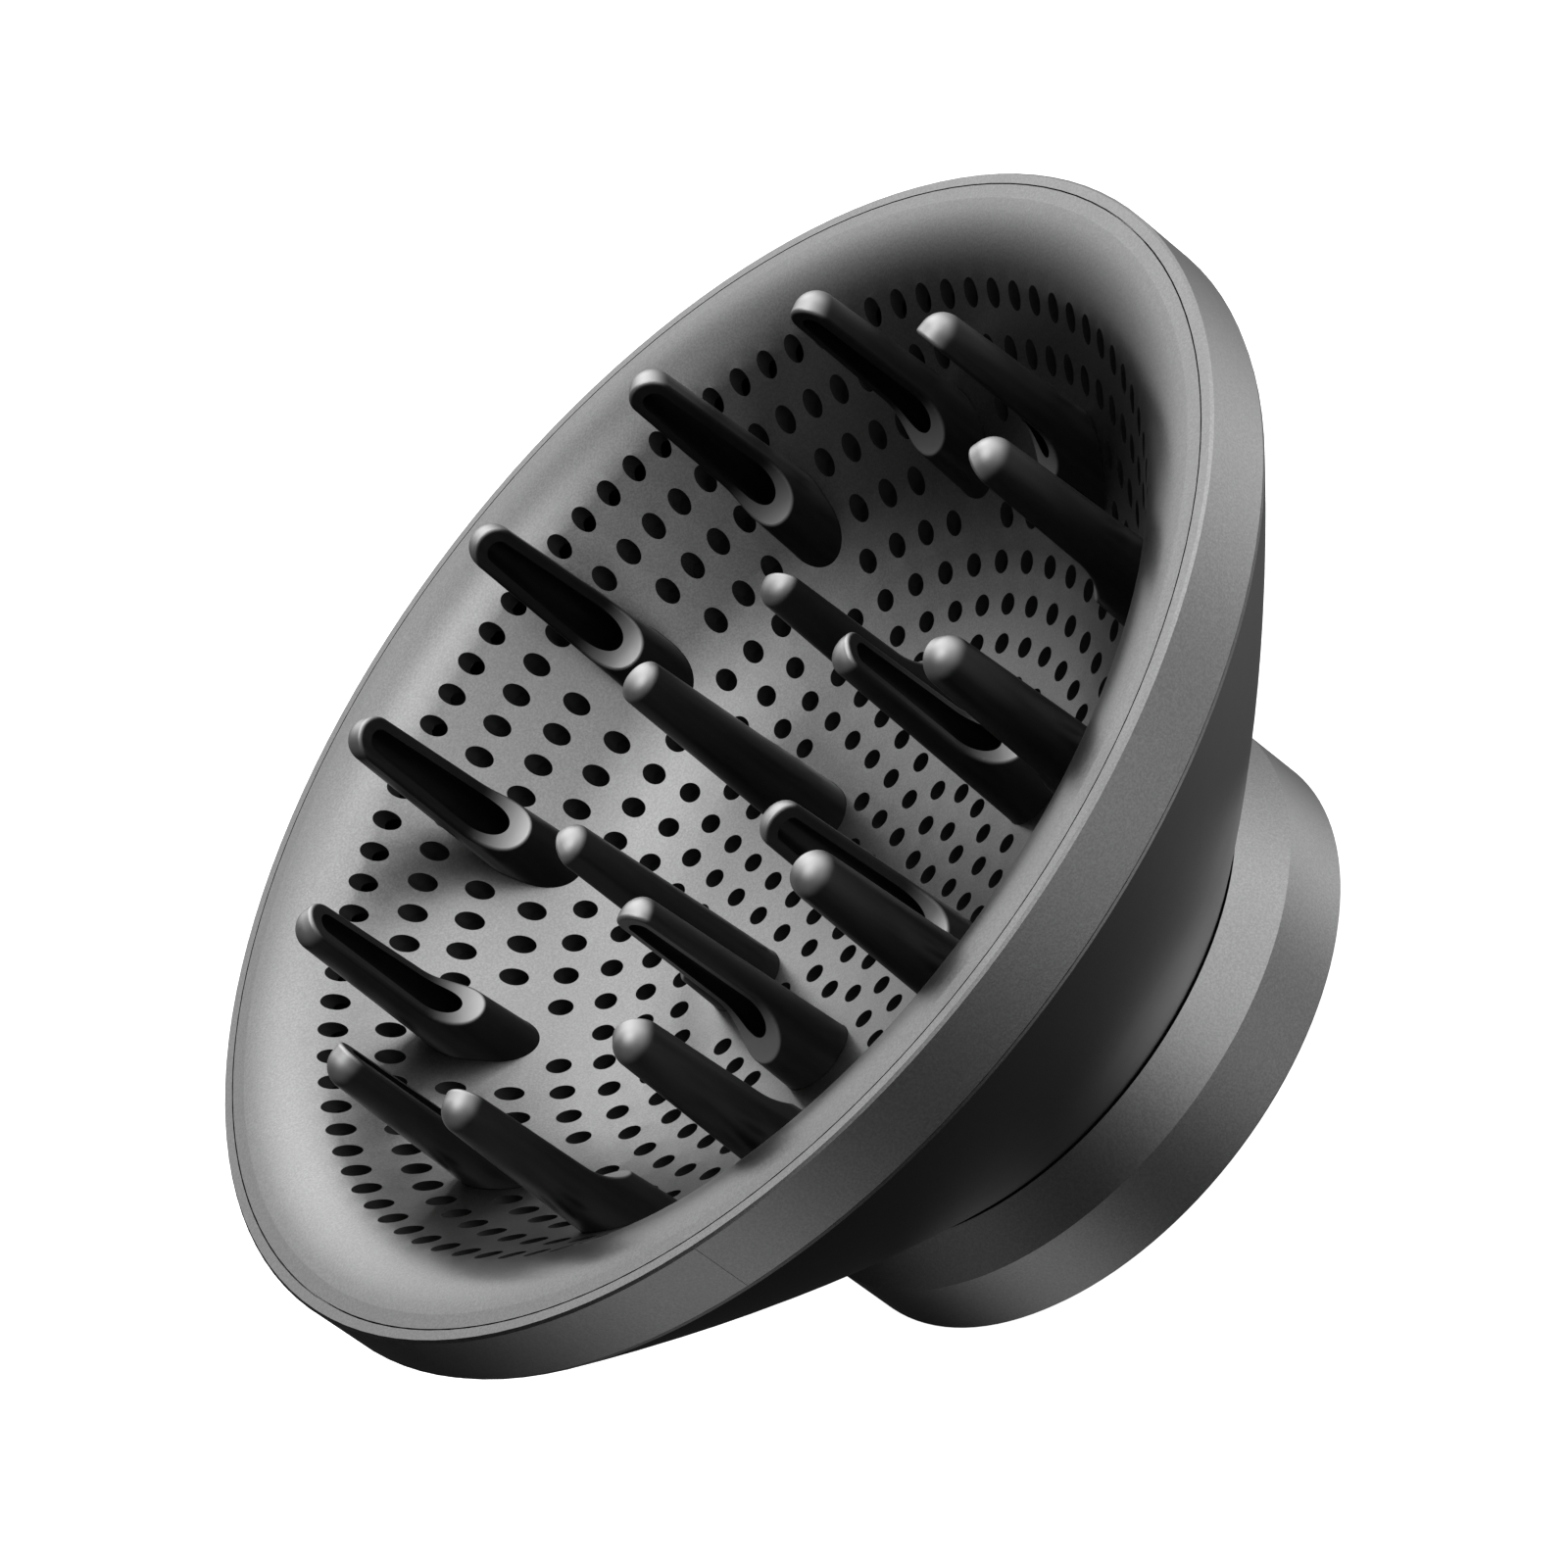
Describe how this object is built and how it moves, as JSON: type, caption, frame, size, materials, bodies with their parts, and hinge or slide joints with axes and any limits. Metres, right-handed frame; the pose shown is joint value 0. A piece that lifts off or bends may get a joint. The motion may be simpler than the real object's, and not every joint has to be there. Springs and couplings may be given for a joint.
{
  "type": "hair dryer diffuser",
  "caption": "Round hair dryer diffuser: a perforated bowl with hollow slotted prongs, a tapered rear shell and a turning magnetic collar that pushes onto a dryer's nose.",
  "frame": {"origin": "centre of the collar's flat rear face, which the part stands on", "axes": "+Z along the round axis, from the dryer side towards the open bowl; +X through the first outer prong"},
  "size_m": [0.15, 0.15, 0.0749],
  "materials": {
    "grille_satin": "fine satin metallic grey paint on the perforated bowl",
    "rim_satin": "fine satin metallic grey paint on the rim ring",
    "shell_satin": "fine satin metallic grey paint on the rear cone, a shade darker than the rim",
    "collar_satin": "fine satin metallic grey paint on the collar",
    "prong_black": "matte black with a satin sheen on the rounded tips",
    "black_moulding": "plain matte black inner mouldings",
    "elastomer": "soft matte black seal",
    "slip_washer": "off-white low friction washer",
    "plated_steel": "zinc plated steel",
    "screw_steel": "plated screw steel",
    "magnet_nickel": "nickel plated magnet"
  },
  "bodies": {
    "collar": {"collar": "collar_satin", "magnet_carrier": "black_moulding", "pole_ring": "plated_steel", "nose_gasket": "elastomer", "magnet_1": "magnet_nickel", "magnet_2": "magnet_nickel", "magnet_3": "magnet_nickel", "magnet_4": "magnet_nickel", "magnet_5": "magnet_nickel", "magnet_6": "magnet_nickel", "magnet_7": "magnet_nickel", "magnet_8": "magnet_nickel"},
    "bowl": {"front_grille": "grille_satin", "backing_bowl": "black_moulding", "rim_ring": "rim_satin", "rim_seal": "elastomer", "rear_shell": "shell_satin", "air_deflector": "black_moulding", "wear_washer": "slip_washer", "retaining_ring": "black_moulding", "backing_screws": "screw_steel", "retaining_screws": "screw_steel", "deflector_screws": "screw_steel", "outer_prong_01": "prong_black", "outer_prong_02": "prong_black", "outer_prong_03": "prong_black", "outer_prong_04": "prong_black", "outer_prong_05": "prong_black", "outer_prong_06": "prong_black", "outer_prong_07": "prong_black", "outer_prong_08": "prong_black", "outer_prong_09": "prong_black", "outer_prong_10": "prong_black", "outer_prong_11": "prong_black", "outer_prong_12": "prong_black", "inner_prong_01": "prong_black", "inner_prong_02": "prong_black", "inner_prong_03": "prong_black", "inner_prong_04": "prong_black", "inner_prong_05": "prong_black", "inner_prong_06": "prong_black"}
  },
  "joints": [
    {"name": "collar_swivel", "type": "hinge", "parent": "collar", "child": "bowl", "pos_m": [0, 0, 0.0135], "axis": [0, 0, 1], "continuous": true}
  ]
}
